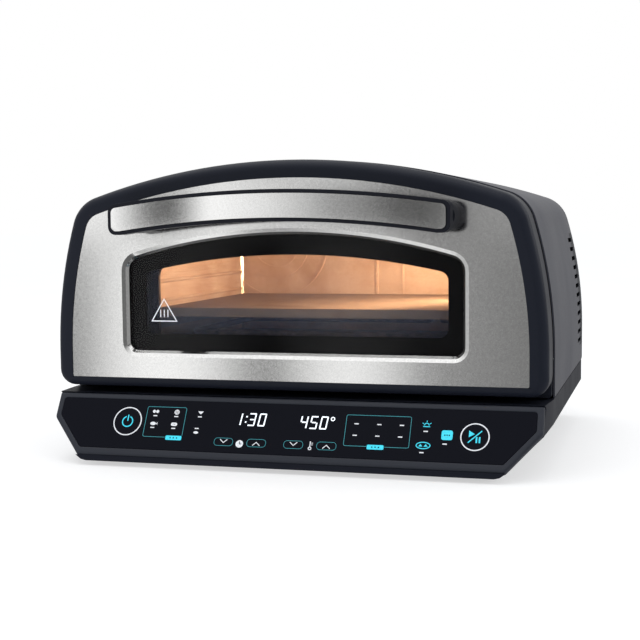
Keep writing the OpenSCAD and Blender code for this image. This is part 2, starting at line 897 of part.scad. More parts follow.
module liner_side() {
    color(liner)
    difference() {
        behind(shell_y - 1) translate([cavity_half, 0, floor_z]) cube([1.2, back_y - shell_y + 1, ceiling_z - floor_z]);
        children();
    }
}

module liner_left() {
    mirror([1, 0, 0]) liner_side();
}

module liner_right() {
    liner_side() behind(lamp_y) translate([0, 0, lamp_z]) rod_x(17, 150, 190);
}

module liner_top() {
    color(liner)
    behind(shell_y - 1) translate([-cavity_half - 1.2, 0, ceiling_z + 0.05])
        cube([2 * cavity_half + 2.4, back_y - shell_y + 2.2, 1.2]);
}

module liner_floor() {
    color(liner * 0.6)
    behind(shell_y - 1) translate([-cavity_half - 1.2, 0, floor_z - 1.25])
        cube([2 * cavity_half + 2.4, back_y - shell_y + 2.2, 1.2]);
}

module liner_back() {
    color(liner)
    difference() {
        union() {
            behind(back_y + 0.05) translate([-cavity_half - 1.2, 0, floor_z])
                cube([2 * cavity_half + 2.4, 1.2, ceiling_z - floor_z]);
            // raised ring round the fan, ending at the corner strip, and two upright ribs
            intersection() {
                translate([fan_x, 0, fan_z]) difference() {
                    rod_y(68.2, back_y - 1.4, back_y + 0.1);
                    rod_y(65.2, back_y - 3, back_y + 3);
                }
                behind(back_y - 3) translate([-cavity_half + corner_strip + 0.2, 0, floor_z])
                    cube([2 * cavity_half - 2 * corner_strip - 0.4, 5, ceiling_z - floor_z - 0.1]);
            }
            for (x = [8, 41])
                behind(back_y - 1.4) translate([x, 0, floor_z + 12]) cube([3, 1.5, ceiling_z - floor_z - 24]);
        }
        translate([fan_x, 0, fan_z]) rod_y(20.5, back_y - 5, back_y + 5);
        translate([120, 0, 221]) rod_y(2.6, back_y - 5, back_y + 5);
        element_holes(224);
        element_holes(127);
    }
}

// Bright slanted strips down the cavity's rear corners
module corner_strips() {
    color(steel)
    both_sides() behind() translate([0, 0, floor_z + 0.2]) linear_extrude(ceiling_z - floor_z - 0.4)
        polygon([[cavity_half - corner_strip, back_y - 0.1], [cavity_half - 0.15, back_y - 2.95],
                 [cavity_half - 0.15, back_y - 0.1]]);
}

module element_holes(z) {
    for (x = [84, 100]) translate([x, 0, z]) rod_y(3.9, back_y - 5, back_y + 5);
}

// Pressed rails along the side walls
module rack_guides() {
    color(liner)
    both_sides()
    for (z = [162, 183])
        translate([cavity_half - 2.1, 0, z]) rod_y(2, 62, back_y - 8);
}

module stone_rails() {
    color(steel)
    both_sides() {
        behind(56) translate([cavity_half - 14, 0, stone_low - 1.6]) cube([13.9, 272, 1.5]);
        behind(56) translate([cavity_half - 1.6, 0, stone_low - 14]) cube([1.5, 272, 12.5]);
    }
}

module baking_stone() {
    color([0.78, 0.7, 0.56])
    plate_xy(rounded([[-163, 58], [163, 58], [163, 330], [-163, 330]], 6, 6), stone_low, stone_t);
}

module plate_xy(pts, z, t) {
    behind() translate([0, 0, z]) linear_extrude(t) polygon(pts);
}

module run_y(x, y0, y1) {
    translate([x, y0, 0]) rotate([-90, 0, 0]) cylinder(r = 3.4, h = y1 - y0, $fn = 32);
}

module upper_element() {
    color([0.3, 0.29, 0.28]) coil(224);
}

module lower_element() {
    color([0.3, 0.29, 0.28]) coil(127);
}

// One heater: two loops side by side, both ends through the back wall
module coil(z) {
    r = 8;
    behind() translate([0, 0, z]) {
        run_y(84, 300, back_y + 24);
        run_y(100, 300, back_y + 24);
        arm(100, 300, 140, 90);
        arm(84, 300, -140, 90);
        cross_x(-140 + 20, 140 - 20, 90);
    }
}

// A run forward, an elbow and a run to the front corner at x1
module arm(x0, y0, x1, y1) {
    s = x1 > x0 ? 1 : -1;
    k = 20;
    elbow_r = 10;
    translate([x0 + s * elbow_r, y0, 0]) rotate([0, 0, s > 0 ? 180 : 270]) rotate_extrude(angle = 90, $fn = 64)
        translate([elbow_r, 0]) circle(r = 3.4, $fn = 32);
    cross_x(min(x0 + s * elbow_r, x1 - s * elbow_r), max(x0 + s * elbow_r, x1 - s * elbow_r), y0 - elbow_r);
    translate([x1 - s * elbow_r, y0 - 2 * elbow_r, 0]) rotate([0, 0, s > 0 ? 0 : 90])
        rotate_extrude(angle = 90, $fn = 64) translate([elbow_r, 0]) circle(r = 3.4, $fn = 32);
    run_y(x1, y1 + k, y0 - 2 * elbow_r);
    translate([x1 - s * k, y1 + k, 0]) rotate([0, 0, s > 0 ? 270 : 180])
        rotate_extrude(angle = 90, $fn = 64) translate([k, 0]) circle(r = 3.4, $fn = 32);
}

module cross_x(x0, x1, y) {
    translate([x0, y, 0]) rotate([0, 90, 0]) cylinder(r = 3.4, h = x1 - x0, $fn = 32);
}

// Wire hooks that carry the two heaters
module element_clips() {
    color(steel)
    for (x = [-60, 60]) {
        behind(86) translate([x - 1, 0, 228]) cube([2, 8, ceiling_z - 228 - 0.1]);
        behind(86) translate([x - 1, 0, floor_z + 0.1]) cube([2, 8, 127 - floor_z - 4]);
    }
}

// ---- fan, lamp and sensor ----

module fan_guard() {
    color(liner)
    translate([fan_x, 0, fan_z]) {
        difference() {
            union() {
                rod_y(43.8, back_y - 2.6, back_y - 0.1);
                rod_y(31, back_y - 3.8, back_y - 2.5);
            }
            rod_y(28.6, back_y - 6, back_y - 2.6);
            rod_y(40, back_y - 1.4, back_y + 1);
            for (r = [6.6, 11.6, 16.6])
                for (a = [0, 240, 300])
                    rotate([0, a, 0]) sector_slot(r);
            // flat top, just under the ceiling
            behind(back_y - 10) translate([-60, 0, ceiling_z - 0.4 - fan_z]) cube([120, 20, 60]);
        }
    }
}

// A curved slot of mean radius r in the fan guard
module sector_slot(r) {
    behind(back_y + 1) rotate([90, 0, 0]) rotate([0, 0, 6]) rotate_extrude(angle = 48, $fn = 64)
        translate([r, 0]) square([3.4, 6]);
}

module fan_impeller() {
    color(steel)
    translate([fan_x, 0, fan_z]) {
        rod_y(7, back_y + 3, back_y + 17);
        rod_y(25, back_y + 14, back_y + 15.5);
        for (a = [0 : 45 : 315])
            rotate([0, a, 0]) behind(back_y + 4) translate([6, 0, -0.6]) cube([18, 10.5, 1.2]);
        rod_y(2.4, back_y + 16, back_y + 24.5);
    }
}

module fan_motor() {
    color(grey)
    translate([fan_x, 0, fan_z])
    difference() {
        rod_y(21, back_y + 23, back_y + 50);
        rod_y(2.45, back_y + 20, back_y + 34);
    }
}

module fan_bracket() {
    color(steel)
    translate([fan_x, 0, fan_z])
    difference() {
        behind(back_y + 20.8) translate([-44, 0, -24]) cube([88, 2, 44]);
        rod_y(12, back_y + 10, back_y + 40);
    }
    color(steel)
    for (s = [-1, 1])
        translate([fan_x + s * 42.5, 0, fan_z])
            behind(back_y + 1.4) translate([-1.5, 0, -24]) cube([3, 19.3, 44]);
}

module lamp_lens() {
    color([1, 0.9, 0.75, 0.5])
    behind(lamp_y) translate([0, 0, lamp_z])
    difference() {
        union() {
            rod_x(16.8, cavity_half - 0.6, cavity_half + 2.4);
            rod_x(19.5, cavity_half - 2, cavity_half - 0.1);
        }
        rod_x(14, cavity_half - 0.4, cavity_half + 9);
    }
}

module lamp_bulb() {
    color([1, 0.95, 0.85])
    behind(lamp_y) translate([cavity_half + 5, 0, lamp_z]) rotate([0, 90, 0])
        rotate_extrude($fn = 48)
            polygon([[0, 0], [4.4, 0], [8, 3.5], [8.6, 8], [7, 12], [5, 15], [5, 28], [0, 28]]);
}

module lamp_holder() {
    color(steel)
    behind(lamp_y) translate([0, 0, lamp_z])
    difference() {
        rod_x(19, cavity_half + 2.6, cavity_half + 36);
        rod_x(16.5, cavity_half, cavity_half + 30);
        rod_x(5.1, cavity_half + 20, cavity_half + 34);
    }
}

module temperature_probe() {
    color(steel)
    translate([120, 0, 221]) {
        rod_y(2, back_y - 34, back_y + 10);
        rod_y(4.5, back_y + 1.4, back_y + 4.4);
    }
}

module insulation() {
    color([0.85, 0.82, 0.72]) {
        behind(shell_y + 8) translate([-cavity_half, 0, ceiling_z + 1.5]) cube([2 * cavity_half, 276, 20]);
        mirror([1, 0, 0]) behind(shell_y + 8) translate([cavity_half + 1.5, 0, floor_z + 2]) cube([22, 276, 128]);
        behind(shell_y + 8) translate([cavity_half + 1.5, 0, floor_z + 2]) cube([22, 120, 128]);
    }
}

housing_shell();
vent_strips();
front_frame();
back_cover();
back_screws();
base_shell();
bottom_plate();
bottom_screws();
feet();
cord_gland();
control_frame();
touch_glass();
panel_backer();
control_board();
display_digits();
marks_white();
marks_cyan();
marks_teal();
power_board();
door_rim();
door_panel();
outer_glass();
glass_print();
glass_mark();
inner_glass();
door_back_pan();
door_spacers();
hinge_blocks();
handle_body();
handle_legs();
handle_grip();
handle_screws();
hinge_arms();
hinge_pins();
door_gasket();
liner_left();
liner_right();
liner_top();
liner_floor();
liner_back();
corner_strips();
rack_guides();
stone_rails();
baking_stone();
upper_element();
lower_element();
element_clips();
fan_guard();
fan_impeller();
fan_motor();
fan_bracket();
lamp_lens();
lamp_bulb();
lamp_holder();
temperature_probe();
insulation();
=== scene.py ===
"""Looks for a countertop pizza oven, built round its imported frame. Metres, +Z up, the door faces -Y."""

import json
from math import pi, radians

import bpy
from mathutils import Matrix, Vector


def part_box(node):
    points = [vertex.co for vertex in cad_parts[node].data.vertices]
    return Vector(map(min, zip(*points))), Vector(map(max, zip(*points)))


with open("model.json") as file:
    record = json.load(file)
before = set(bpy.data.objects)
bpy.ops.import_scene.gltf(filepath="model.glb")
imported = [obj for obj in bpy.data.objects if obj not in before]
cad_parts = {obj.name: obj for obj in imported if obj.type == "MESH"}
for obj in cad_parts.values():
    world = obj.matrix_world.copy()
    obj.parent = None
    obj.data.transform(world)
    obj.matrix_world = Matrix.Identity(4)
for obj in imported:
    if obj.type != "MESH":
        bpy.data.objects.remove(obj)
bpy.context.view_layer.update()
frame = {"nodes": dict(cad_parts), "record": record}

NODES = frame["nodes"]
MM = 0.001

# ---------------------------------------------------------------- camera, floor, light

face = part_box("door_panel")[0].y  # the door's steel face

CAM_X, CAM_Z = 0.3697, 0.2439
CAM_AWAY = 1.180  # from the door's face
CAM_YAW, CAM_PITCH, CAM_ROLL = 15.96, 4.42, -0.54  # degrees: towards -X, down, about its own axis
CAM_LENS, CAM_SENSOR = 70.17, 36  # mm
CAM_NEAR, CAM_FAR = 0.05, 60


def add(obj):
    bpy.context.scene.collection.objects.link(obj)
    return obj


def feed(tree, socket, value):
    """Links a socket to another that is given, or sets it to a constant."""
    if hasattr(value, "links"):
        tree.links.new(value, socket)
    else:
        socket.default_value = value


def add_node(tree, kind, inputs=None, **settings):
    """A shader node with its settings and what feeds each input."""
    node = tree.nodes.new(kind)
    for name, value in settings.items():
        setattr(node, name, value)
    for name, value in (inputs or {}).items():
        feed(tree, node.inputs[name], value)
    return node


def make_camera():
    camera = add(bpy.data.objects.new("camera", bpy.data.cameras.new("camera")))
    camera.data.lens, camera.data.sensor_width = CAM_LENS, CAM_SENSOR
    camera.data.clip_start, camera.data.clip_end = CAM_NEAR, CAM_FAR
    turn = (
        Matrix.Rotation(radians(CAM_YAW), 4, "Z")
        @ Matrix.Rotation(radians(90 - CAM_PITCH), 4, "X")
        @ Matrix.Rotation(radians(CAM_ROLL), 4, "Z")
    )
    camera.matrix_world = Matrix.Translation((CAM_X, face - CAM_AWAY, CAM_Z)) @ turn
    bpy.context.scene.camera = camera


def soft_light(name, at, target, size, watts, colour=(1, 1, 1)):
    """A rectangular soft box at a point, facing another; the camera doesn't see it."""
    data = bpy.data.lights.new(name, "AREA")
    data.shape, data.size, data.size_y = "RECTANGLE", size[0], size[1]
    data.energy, data.color = watts, colour
    lamp = add(bpy.data.objects.new(name, data))
    at, target = Vector(at), Vector(target)
    facing = (target - at).to_track_quat("-Z", "Y").to_matrix().to_4x4()
    lamp.matrix_world = Matrix.Translation(at) @ facing
    lamp.visible_camera = False
    return lamp


# What polished surfaces mirror, by compass angle in degrees from the door's front, minus being the
# viewer's left: the grey levels of soft boxes and of the dark gaps between them.
STUDIO = (
    (-180, 0.45), (-120, 0.45), (-75, 0.50), (-50, 0.62), (-36, 0.9), (-31, 0.6), (-28.5, 0.22),
    (-26.3, 0.25), (-25.1, 1.25), (-21.6, 1.2), (-19.9, 0.50), (-18.2, 0.03), (-17.4, 0.68),
    (-15.5, 1.12), (-13.2, 1.15), (-11.8, 0.30), (-9.5, 0.30), (-7, 0.23), (-2, 0.14), (10, 0.12),
    (30, 0.16), (60, 0.28), (110, 0.36), (150, 0.36), (180, 0.45),
)
# A second, shallow row of soft boxes, which the handle's grip mirrors
STUDIO_ROW = (
    (-180, 0.45), (-75, 0.50), (-36, 0.9), (-27, 1.2), (-25.3, 1.2), (-24.5, 0.95), (-23.8, 0.02),
    (-22.5, 0.02), (-21.9, 0.8), (-21.2, 1.25), (-19.9, 1.25), (-19.4, 0.8), (-19.2, 0.0),
    (-18.5, 0.0), (-18.3, 0.9), (-17.8, 1.25), (-17.1, 1.0), (-16.7, 0.38), (-15.2, 0.35),
    (-13.8, 0.24), (-13.0, 0.12), (-10.4, 0.05), (-9.2, 0.38), (-6, 0.36), (10, 0.12), (60, 0.28),
    (110, 0.36), (180, 0.45),
)
STUDIO_PEAK = 1.25  # the brightest grey level in either row
# Heights above the horizon, as the upward share of a direction of length 1
ROW_LOW, ROW_HIGH, ROW_FADE = radians(-1.0), radians(2.1), radians(0.8)
OVERHEAD_START, OVERHEAD_FULL = 0.2, 0.75
OVERHEAD = 1.15  # the grey level that a surface facing up mirrors
SKY, SKY_STRENGTH = (0.95, 0.97, 1, 1), 0.85  # the even light that matt surfaces gather
WHITE = (1, 1, 1, 1)


def make_world():
    """Even pale light from all round, soft boxes for polished surfaces, and a white backdrop."""
    world = bpy.data.worlds.new("studio")
    world.use_nodes = True
    tree = world.node_tree

    def node(kind, inputs=None, **settings):
        return add_node(tree, kind, inputs, **settings)

    ray = node("ShaderNodeLightPath").outputs
    direction = node("ShaderNodeTexCoord").outputs["Generated"]
    toward = node("ShaderNodeSeparateXYZ", {0: direction}).outputs
    front = node("ShaderNodeMath", {0: toward["Y"], 1: -1.0}, operation="MULTIPLY").outputs[0]
    angle = node("ShaderNodeMath", {0: toward["X"], 1: front}, operation="ARCTAN2").outputs[0]
    turn = node("ShaderNodeMapRange", {"Value": angle, "From Min": -pi, "From Max": pi}).outputs[0]

    def bands(boxes):
        """One row of soft boxes, as a ramp round the compass."""
        made = node("ShaderNodeValToRGB", {"Fac": turn})
        stops = made.color_ramp.elements
        while len(stops) < len(boxes):
            stops.new(0.5)
        for stop, (degrees, grey) in zip(stops, boxes):
            level = grey / STUDIO_PEAK
            stop.position, stop.color = degrees / 360 + 0.5, (level, level, level, 1)
        return made.outputs[0]

    def step(start, end):
        """Rises from 0 to 1 between two heights."""
        inputs = {"Value": toward["Z"], "From Min": start, "From Max": end}
        return node("ShaderNodeMapRange", inputs).outputs[0]

    def mix(fac, first, second):
        return node("ShaderNodeMix", {0: fac, 6: first, 7: second}, data_type="RGBA").outputs[2]

    def light(colour, strength):
        return node("ShaderNodeBackground", {"Color": colour, "Strength": strength}).outputs[0]

    def choose(ray_kind, otherwise, chosen):
        return node("ShaderNodeMixShader", {0: ray[ray_kind], 1: otherwise, 2: chosen}).outputs[0]

    rise, fall = step(ROW_LOW, ROW_LOW + ROW_FADE), step(ROW_HIGH + ROW_FADE, ROW_HIGH)
    in_row = node("ShaderNodeMath", {0: rise, 1: fall}, operation="MULTIPLY").outputs[0]
    walls = mix(in_row, bands(STUDIO), bands(STUDIO_ROW))
    overhead = [OVERHEAD / STUDIO_PEAK] * 3 + [1]
    mirrored = mix(step(OVERHEAD_START, OVERHEAD_FULL), walls, overhead)
    glossy = choose("Is Glossy Ray", light(SKY, SKY_STRENGTH), light(mirrored, STUDIO_PEAK))
    seen = choose("Is Camera Ray", glossy, light(WHITE, 1.0))
    tree.links.new(seen, tree.nodes["World Output"].inputs["Surface"])
    world.cycles.sampling_method = "NONE"  # so that polished surfaces mirror the boxes alone
    bpy.context.scene.world = world


# ---------------------------------------------------------------- materials


class Finish:
    """One node material: a Principled shader and short ways to add texture to it."""

    def __init__(self, name, colour=(0.5, 0.5, 0.5), **values):
        self.material = bpy.data.materials.new(name)
        self.material.use_nodes = True
        self.tree = self.material.node_tree
        self.shader = self.tree.nodes["Principled BSDF"]
        self.set("Base Color", (*colour, 1))
        for socket, value in values.items():
            self.set(socket.replace("_", " "), value)
        self.place = self.tree.nodes.new("ShaderNodeTexCoord").outputs["Object"]

    def set(self, socket, value):
        feed(self.tree, self.shader.inputs[socket], value)

    def add(self, kind, inputs=None, **settings):
        return add_node(self.tree, kind, inputs, **settings)

    def stretched(self, sx, sy, sz):
        return self.add("ShaderNodeMapping", {"Vector": self.place, "Scale": (sx, sy, sz)}).outputs[0]

    def noise(self, scale, detail=3.0, rough=0.5, place=None, distort=0.0):
        inputs = {
            "Vector": place or self.place, "Scale": scale, "Detail": detail, "Roughness": rough,
            "Distortion": distort,
        }
        return self.add("ShaderNodeTexNoise", inputs).outputs["Fac"]

    def cells(self, scale):
        inputs = {"Vector": self.place, "Scale": scale}
        return self.add("ShaderNodeTexVoronoi", inputs).outputs["Distance"]

    def ramp(self, fac, *stops):
        """Colours or grey levels along a factor: (place, colour), ..."""
        node = self.add("ShaderNodeValToRGB", {"Fac": fac})
        points = node.color_ramp.elements
        while len(points) < len(stops):
            points.new(0.5)
        for point, (at, colour) in zip(points, stops):
            point.position = at
            point.color = (*colour, 1) if hasattr(colour, "__len__") else (colour, colour, colour, 1)
        return node.outputs["Color"]

    def spread(self, fac, low, high, start=0.0, end=1.0):
        """A factor rescaled from start..end to low..high."""
        inputs = {"Value": fac, "From Min": start, "From Max": end, "To Min": low, "To Max": high}
        return self.add("ShaderNodeMapRange", inputs).outputs[0]

    def blend(self, fac, first, second):
        """From the first colour to the second, by a factor."""
        first, second = (c if hasattr(c, "links") else (*c, 1) for c in (first, second))
        return self.add("ShaderNodeMix", {0: fac, 6: first, 7: second}, data_type="RGBA").outputs[2]

    def sum(self, first, second, share):
        """The first factor plus a share of the second."""
        node = self.add("ShaderNodeMath", {0: second, 1: share, 2: first}, operation="MULTIPLY_ADD")
        return node.outputs[0]

    def bump(self, height, depth):
        """Relief of that depth, in metres, on top of any given before."""
        before = self.shader.inputs["Normal"]
        inputs = {"Height": height, "Strength": 1.0, "Distance": depth}
        if before.links:
            inputs["Normal"] = before.links[0].from_socket
        self.set("Normal", self.add("ShaderNodeBump", inputs).outputs[0])


def brushed(name, colour, rough=0.10, grain=1.0):
    """Satin steel with a fine, even mottle and faint handling clouds."""
    f = Finish(name, colour, Metallic=1.0)
    fine = f.noise(1150, 2.0, 0.65)
    coarse = f.noise(430, 2.0, 0.6)
    cloud = f.noise(9, 2.0, 0.5)
    both = f.sum(fine, coarse, 0.5)
    f.set("Roughness", f.spread(f.sum(both, cloud, 0.5), rough - 0.010, rough + 0.025, 0.7, 1.3))
    dull = tuple(c * 0.78 for c in colour)
    f.set("Base Color", f.blend(f.spread(both, 0.0, 1.0, 0.5, 1.0), dull, colour))
    f.bump(both, 0.000002 * grain)
    return f.material


def moulded(name, colour, rough, shine=0.28):
    """Moulded plastic with a fine spark texture and soft handling marks."""
    f = Finish(name, colour, Specular_IOR_Level=shine)
    grit = f.noise(1500, 2.0, 0.7)
    smear = f.noise(14, 3.0, 0.55, distort=0.4)
    f.set("Roughness", f.spread(f.sum(smear, grit, 0.35), rough - 0.07, rough + 0.08, 0.35, 0.95))
    pale = tuple(min(1.0, c * 1.10 + 0.0015) for c in colour)
    f.set("Base Color", f.blend(f.spread(grit, 0.0, 1.0, 0.35, 0.65), colour, pale))
    f.bump(grit, 0.000012)
    f.bump(f.noise(60, 2.0, 0.5), 0.00002)
    return f.material


def painted(name, colour, rough, metal=0.0, shine=0.5):
    """Baked paint on sheet: faint orange peel, fine flake and slight unevenness."""
    f = Finish(name, colour, Metallic=metal, Specular_IOR_Level=shine)
    peel = f.noise(520, 2.0, 0.5)
    flake = f.noise(2200, 1.0, 0.5)
    wide = f.noise(7, 3.0, 0.5)
    light = tuple(min(1.0, c * 1.16) for c in colour)
    dark = tuple(c * 0.90 for c in colour)
    tone = f.blend(f.spread(wide, 0.0, 1.0, 0.3, 0.7), dark, colour)
    f.set("Base Color", f.blend(f.spread(flake, 0.0, 0.8, 0.5, 0.75), tone, light))
    f.set("Roughness", f.spread(f.sum(wide, peel, 0.4), rough - 0.06, rough + 0.08, 0.4, 1.0))
    f.bump(peel, 0.000016)
    return f.material


def plated(name, colour=(0.62, 0.63, 0.64), rough=0.34):
    """Zinc-plated sheet with its faint spangle and rolling marks."""
    f = Finish(name, colour, Metallic=1.0)
    spangle = f.cells(160)
    rolling = f.noise(1.0, 2.0, 0.6, place=f.stretched(20, 700, 700))
    dull = tuple(c * 0.78 for c in colour)
    f.set("Base Color", f.blend(f.spread(spangle, 0.0, 1.0, 0.0, 0.9), colour, dull))
    f.set("Roughness", f.spread(f.sum(rolling, spangle, 0.5), rough - 0.06, rough + 0.14, 0.3, 1.1))
    f.bump(rolling, 0.000008)
    return f.material


def cavity_sheet(name):
    """Aluminised sheet, warmed and faintly stained by baking."""
    f = Finish(name, Metallic=0.35, Specular_IOR_Level=0.5)
    stain = f.noise(11, 4.0, 0.6, distort=0.6)
    grain = f.noise(1.0, 2.0, 0.6, place=f.stretched(500, 24, 500))
    tone = f.ramp(
        stain, (0.30, (0.56, 0.40, 0.27)), (0.48, (0.70, 0.56, 0.43)), (0.70, (0.80, 0.69, 0.57))
    )
    f.set("Base Color", f.blend(f.spread(grain, 0.0, 0.35, 0.4, 0.7), tone, (0.42, 0.30, 0.20)))
    f.set("Roughness", f.spread(f.sum(stain, grain, 0.4), 0.36, 0.56, 0.4, 1.0))
    f.bump(grain, 0.000015)
    f.bump(f.noise(30, 2.0, 0.5), 0.00012)
    return f.material


def enamel(name, colour, rough=0.16):
    """Fired vitreous enamel: glossy, softly uneven, with tiny pits."""
    f = Finish(name, colour, Coat_Weight=0.5, Coat_Roughness=0.08)
    wave = f.noise(55, 2.0, 0.5)
    pit = f.cells(900)
    speck = tuple(min(1.0, c + 0.03) for c in colour)
    f.set("Base Color", f.blend(f.spread(pit, 1.0, 0.0, 0.02, 0.14), colour, speck))
    f.set("Roughness", f.spread(wave, rough - 0.04, rough + 0.12, 0.3, 0.7))
    f.bump(wave, 0.00005)
    return f.material


def gloss_black(name, colour, shine):
    """Black print behind polished glass, with the faintest wipe marks."""
    f = Finish(name, colour, Specular_IOR_Level=shine)
    wipe = f.noise(1.0, 3.0, 0.6, place=f.stretched(9, 30, 60), distort=0.5)
    dust = f.noise(2600, 1.0, 0.5)
    f.set("Roughness", f.spread(wipe, 0.05, 0.13, 0.35, 0.7))
    pale = tuple(c + 0.004 for c in colour)
    f.set("Base Color", f.blend(f.spread(dust, 0.0, 0.6, 0.62, 0.8), colour, pale))
    f.bump(f.noise(12, 1.0, 0.5), 0.00001)
    return f.material


def clear_glass(name, painted_reflection=0.0):
    """Clear tempered glass: a sheen that grows at a slant and, where asked for, a matt bluish film that is a
    painted reflection.
    """
    f = Finish(name)
    f.tree.nodes.remove(f.shader)
    wipe = f.noise(1.0, 3.0, 0.6, place=f.stretched(9, 30, 60), distort=0.5)
    rough = f.spread(wipe, 0.02, 0.09, 0.35, 0.7)
    through = f.add("ShaderNodeBsdfTransparent", {"Color": (0.95, 0.95, 0.95, 1)}).outputs[0]
    shine = f.add("ShaderNodeBsdfGlossy", {"Color": WHITE, "Roughness": rough}).outputs[0]
    share = f.add("ShaderNodeFresnel", {"IOR": 1.15}).outputs[0]
    # painted reflection: a matt bluish film, lit like a wall, laid over the see-through glass
    painted_reflection_film = f.add("ShaderNodeBsdfDiffuse", {"Color": (0.40, 0.48, 0.75, 1)}).outputs[0]
    dust_and_painted_reflection = f.spread(wipe, 0.8 * painted_reflection, 1.2 * painted_reflection, 0.35, 0.7)
    with_painted_reflection = f.add("ShaderNodeMixShader", {0: dust_and_painted_reflection, 1: through, 2: painted_reflection_film}).outputs[0]
    both = f.add("ShaderNodeMixShader", {0: share, 1: with_painted_reflection, 2: shine}).outputs[0]
    f.tree.links.new(both, f.tree.nodes["Material Output"].inputs["Surface"])
    return f.material


def printed(name, colour, glow):
    """Ink or a lit legend under the glass, a little uneven in density."""
    f = Finish(name, colour, Roughness=0.35, Emission_Strength=glow)
    density = f.noise(700, 2.0, 0.5)
    thin = tuple(c * 0.82 for c in colour)
    shade = f.blend(f.spread(density, 0.0, 1.0, 0.4, 0.6), thin, colour)
    f.set("Base Color", shade)
    f.set("Emission Color", shade)
    return f.material


def fired_stone(name):
    """Cordierite baking stone: sandy, pitted, with scorched patches."""
    f = Finish(name, Roughness=0.9, Specular_IOR_Level=0.2)
    sand, grit = f.noise(900, 4.0, 0.7), f.cells(420)
    scorch = f.noise(13, 5.0, 0.62, distort=0.8)
    tone = f.ramp(
        sand, (0.30, (0.15, 0.115, 0.08)), (0.52, (0.23, 0.18, 0.13)), (0.75, (0.31, 0.26, 0.20))
    )
    burnt = f.blend(f.spread(scorch, 0.0, 0.75, 0.52, 0.70), tone, (0.13, 0.08, 0.045))
    f.set("Base Color", f.blend(f.spread(grit, 0.45, 0.0, 0.02, 0.16), burnt, (0.20, 0.15, 0.10)))
    f.bump(sand, 0.00018)
    f.bump(grit, 0.00012)
    return f.material


def heater_tube(name):
    """Oxidised heating tube, bluish brown with scale."""
    f = Finish(name, Metallic=0.75)
    scale = f.noise(160, 5.0, 0.65)
    tone = f.ramp(
        scale, (0.35, (0.05, 0.045, 0.045)), (0.55, (0.15, 0.11, 0.09)), (0.72, (0.26, 0.21, 0.17))
    )
    f.set("Base Color", tone)
    f.set("Roughness", f.spread(scale, 0.38, 0.70, 0.3, 0.7))
    f.bump(scale, 0.00006)
    return f.material


def rubber(name, colour):
    """Matt rubber, a little dusty."""
    f = Finish(name, colour, Specular_IOR_Level=0.3)
    grain = f.noise(1100, 3.0, 0.7)
    dust_and_painted_reflection = f.noise(40, 3.0, 0.6)
    pale = tuple(c + 0.035 for c in colour)
    f.set("Base Color", f.blend(f.spread(dust_and_painted_reflection, 0.0, 0.5, 0.5, 0.75), colour, pale))
    f.set("Roughness", f.spread(grain, 0.70, 0.92, 0.3, 0.7))
    f.bump(grain, 0.00004)
    return f.material


def woven_seal(name):
    """Braided glass-fibre door seal."""
    f = Finish(name, Roughness=0.85, Sheen_Weight=0.25)

    def strands(way):
        inputs = {"Vector": f.stretched(way, 1, 1), "Scale": 190, "Distortion": 0.4}
        return f.add("ShaderNodeTexWave", inputs, bands_direction="DIAGONAL").outputs["Fac"]

    crossed = {0: strands(1), 1: strands(-1)}
    weave = f.add("ShaderNodeMath", crossed, operation="MULTIPLY").outputs[0]
    f.set("Base Color", f.ramp(weave, (0.0, (0.035, 0.034, 0.033)), (1.0, (0.15, 0.145, 0.14))))
    f.bump(weave, 0.0003)
    return f.material


def laminate(name):
    """Green circuit board with its copper tracks showing through the mask."""
    f = Finish(name, Coat_Weight=0.3, Coat_Roughness=0.2)
    inputs = {
        "Vector": f.stretched(1, 1, 1), "Scale": 60, "Mortar Size": 0.03,
        "Color1": (0.012, 0.085, 0.03, 1), "Color2": (0.014, 0.10, 0.035, 1), "Mortar": (0.05, 0.20, 0.07, 1),
    }
    tracks = f.add("ShaderNodeTexBrick", inputs)
    f.set("Base Color", tracks.outputs["Color"])
    f.set("Roughness", f.spread(f.noise(300), 0.3, 0.5, 0.3, 0.7))
    f.bump(tracks.outputs["Fac"], 0.00004)
    return f.material


def mineral_wool(name):
    """Pale matted insulation fibre."""
    f = Finish(name, Roughness=0.95, Sheen_Weight=0.3)
    fibre = f.noise(1.0, 5.0, 0.7, place=f.stretched(90, 700, 260), distort=1.5)
    f.set("Base Color", f.ramp(fibre, (0.3, (0.42, 0.38, 0.28)), (0.7, (0.72, 0.68, 0.56))))
    f.bump(fibre, 0.0008)
    return f.material


def lamp_glass(name, colour, glow):
    """Frosted lamp glass, lit from behind, hotter at the ripples' crests."""
    f = Finish(name, colour, Roughness=0.25, Emission_Strength=glow)
    ripple = f.noise(240, 1.0, 0.5)
    f.set("Emission Color", f.ramp(ripple, (0.3, tuple(c * 0.75 for c in colour)), (0.7, colour)))
    f.bump(ripple, 0.0001)
    return f.material


NAVY = (0.0100, 0.0122, 0.0200)
STEEL = (0.90, 0.90, 0.89)

